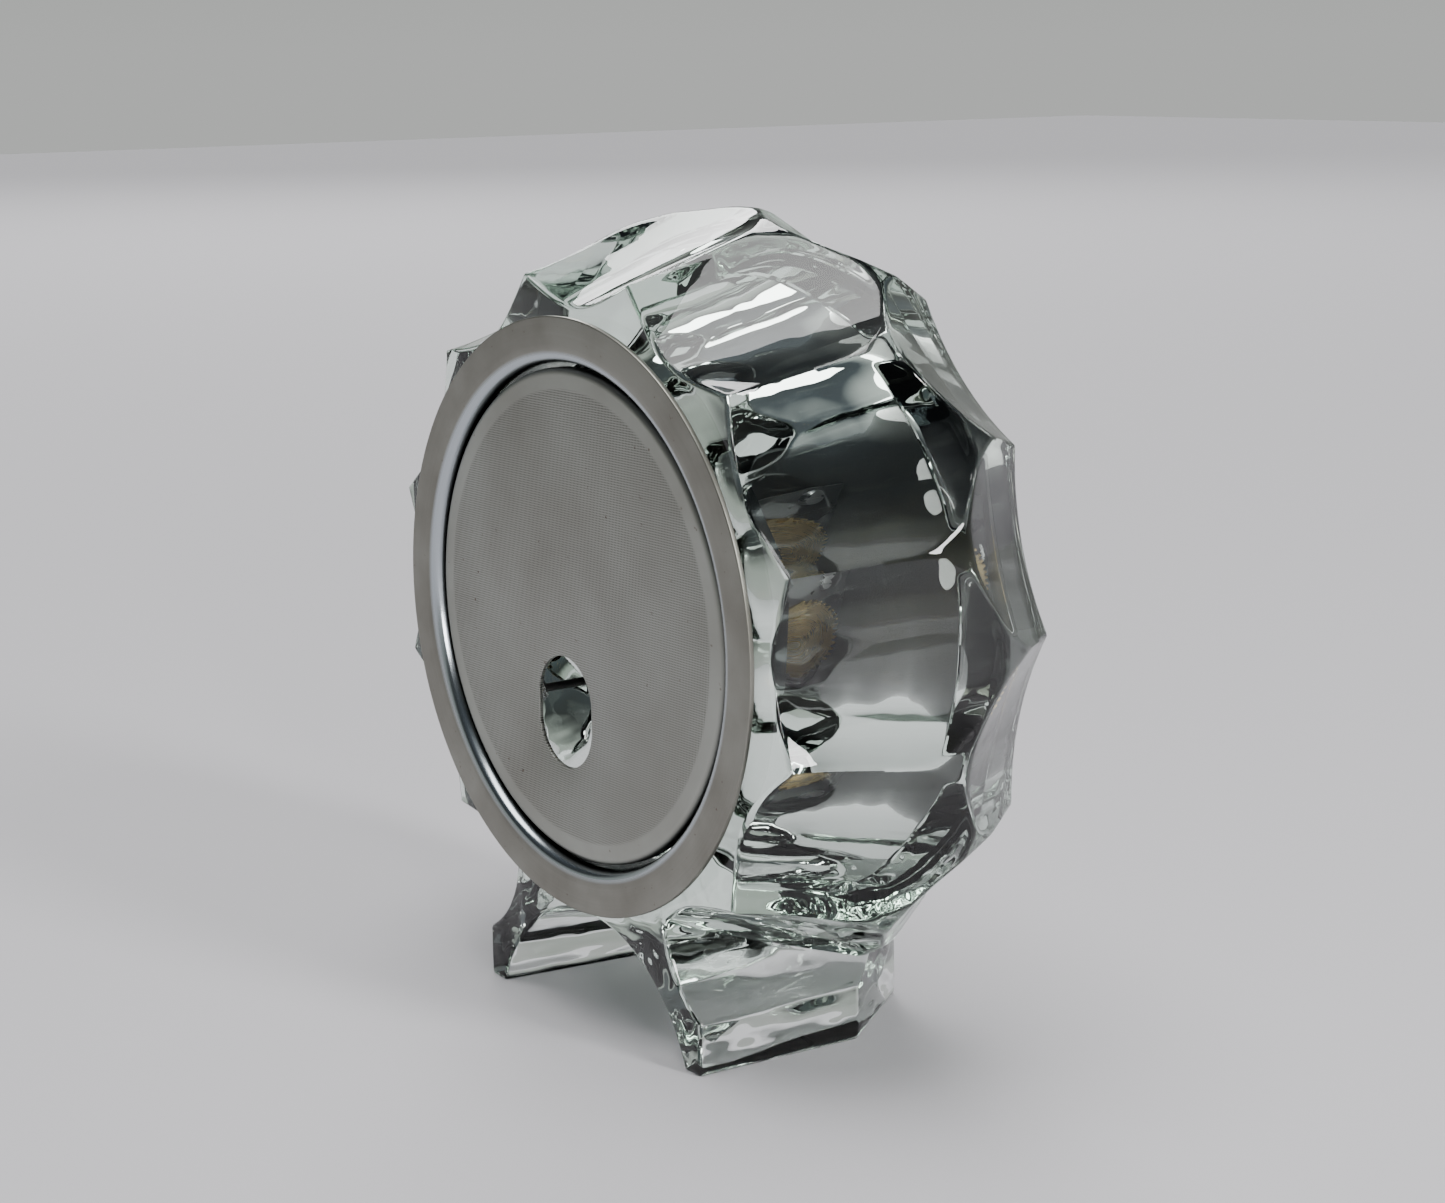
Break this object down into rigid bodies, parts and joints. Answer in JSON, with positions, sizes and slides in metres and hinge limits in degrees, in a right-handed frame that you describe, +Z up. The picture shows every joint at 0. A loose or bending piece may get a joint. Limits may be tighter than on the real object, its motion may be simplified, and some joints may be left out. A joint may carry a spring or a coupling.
{
  "type": "flip number clock",
  "caption": "Flip number clock in a heavy pressed glass block with thumb-cut sides, arched glass feet, a metal back ring and a dotted metal cover with a finger hole.",
  "frame": {"origin": "centre of the overall box in X and Y, on the table plane under the feet", "axes": "+Z up; -Y toward the display (front), +Y toward the back ring; +X to the right as seen from the front"},
  "size_m": [0.1368, 0.0566, 0.1422],
  "materials": {
    "clear_glass": "pressed, fire-polished clear glass",
    "ring_metal": "satin, turned round",
    "cover_metal": "satin with a fine stamped dot grid",
    "spring_steel": "bright spring steel",
    "bezel_black": "satin black with a bright rim",
    "lens": "polished",
    "seal_rubber": "matt",
    "mask_black": "matt black",
    "plate_black": "stoved black paint",
    "turned_brass": "turned",
    "screw_steel": "machined",
    "black_steel": "black oxide",
    "leaf_black": "matt with white figures",
    "drum_plastic": "moulded",
    "pinion_plastic": "moulded",
    "pawl_brass": "stamped",
    "motor_can": "drawn can",
    "knob_plastic": "moulded, ribbed",
    "tray_plastic": "moulded",
    "cell_jacket": "printed jacket, no lettering"
  },
  "bodies": {
    "case": {"glass_block": "clear_glass", "back_ring": "ring_metal", "front_bezel": "bezel_black", "front_lens": "lens", "lens_gasket": "seal_rubber", "display_mask": "mask_black", "left_plate": "plate_black", "right_plate": "plate_black", "plate_spacers": "turned_brass", "spacer_screws": "screw_steel", "mask_screws": "screw_steel", "tie_rods": "black_steel", "rod_brackets": "spring_steel", "rod_nuts": "black_steel", "leaf_stops": "spring_steel", "pawl_rod": "screw_steel", "motor": "motor_can", "motor_posts": "turned_brass", "battery_holder": "tray_plastic", "battery_contacts": "spring_steel"},
    "cover": {"back_cover": "cover_metal", "cover_clips": "spring_steel"},
    "minute_works": {"main_shaft": "screw_steel", "minute_drum": "drum_plastic", "minute_leaves": "leaf_black", "minute_gear": "turned_brass", "setting_wheel": "turned_brass"},
    "tens_works": {"tens_drum": "drum_plastic", "tens_leaves": "leaf_black"},
    "hour_works": {"hour_drum": "drum_plastic", "hour_leaves": "leaf_black"},
    "minute_leaf": {"minute_top_leaf": "leaf_black"},
    "tens_leaf": {"tens_top_leaf": "leaf_black"},
    "hour_leaf": {"hour_top_leaf": "leaf_black"},
    "tens_pawl_body": {"tens_pawl": "pawl_brass"},
    "hour_pawl_body": {"hour_pawl": "pawl_brass"},
    "relay": {"relay_wheel": "turned_brass"},
    "pinion": {"motor_pinion": "pinion_plastic"},
    "setter": {"setting_pinion": "pinion_plastic", "setting_shaft": "screw_steel", "setting_knob": "knob_plastic"},
    "cell": {"battery": "cell_jacket"}
  },
  "joints": [
    {"name": "cover_off", "type": "slide", "parent": "case", "child": "cover", "axis": [0, 1, 0], "range_m": [0, 0.045]},
    {"name": "cell_out", "type": "slide", "parent": "case", "child": "cell", "axis": [0, 1, 0], "range_m": [0, 0.027]},
    {"name": "minute_spin", "type": "hinge", "parent": "case", "child": "minute_works", "pos_m": [0, -0.0017, 0.0738], "axis": [1, 0, 0], "continuous": true},
    {"name": "tens_spin", "type": "hinge", "parent": "case", "child": "tens_works", "pos_m": [0.006, -0.0017, 0.0738], "axis": [1, 0, 0], "continuous": true},
    {"name": "hour_spin", "type": "hinge", "parent": "case", "child": "hour_works", "pos_m": [-0.013, -0.0017, 0.0738], "axis": [1, 0, 0], "continuous": true},
    {"name": "minute_fall", "type": "hinge", "parent": "minute_works", "child": "minute_leaf", "pos_m": [0.01925, -0.0071, 0.0738], "axis": [1, 0, 0], "range_deg": [0, 180]},
    {"name": "tens_fall", "type": "hinge", "parent": "tens_works", "child": "tens_leaf", "pos_m": [0.00645, -0.0071, 0.0738], "axis": [1, 0, 0], "range_deg": [0, 180]},
    {"name": "hour_fall", "type": "hinge", "parent": "hour_works", "child": "hour_leaf", "pos_m": [-0.013, -0.0071, 0.0738], "axis": [1, 0, 0], "range_deg": [0, 180]},
    {"name": "tens_pawl_lift", "type": "hinge", "parent": "case", "child": "tens_pawl_body", "pos_m": [0.0123, 0.0179, 0.0768], "axis": [1, 0, 0], "range_deg": [-15, 0]},
    {"name": "hour_pawl_lift", "type": "hinge", "parent": "case", "child": "hour_pawl_body", "pos_m": [-0.0018, 0.0179, 0.0768], "axis": [1, 0, 0], "range_deg": [-15, 0]},
    {"name": "relay_spin", "type": "hinge", "parent": "case", "child": "relay", "pos_m": [0.029, 0.00218, 0.08829], "axis": [1, 0, 0], "continuous": true},
    {"name": "pinion_spin", "type": "hinge", "parent": "case", "child": "pinion", "pos_m": [0.031, 0.01052, 0.07966], "axis": [1, 0, 0], "continuous": true},
    {"name": "setter_spin", "type": "hinge", "parent": "case", "child": "setter", "pos_m": [-0.018, 0.01085, 0.05405], "axis": [1, 0, 0], "continuous": true}
  ],
  "couplings": [
    {"joint": "tens_spin", "follows": "minute_spin", "ratio": 0.083333},
    {"joint": "hour_spin", "follows": "minute_spin", "ratio": 0.013889},
    {"joint": "relay_spin", "follows": "minute_spin", "ratio": -4},
    {"joint": "pinion_spin", "follows": "minute_spin", "ratio": 12},
    {"joint": "setter_spin", "follows": "minute_spin", "ratio": -1.6},
    {"joint": "cell_out", "follows": "cover_off", "ratio": 0.6}
  ]
}
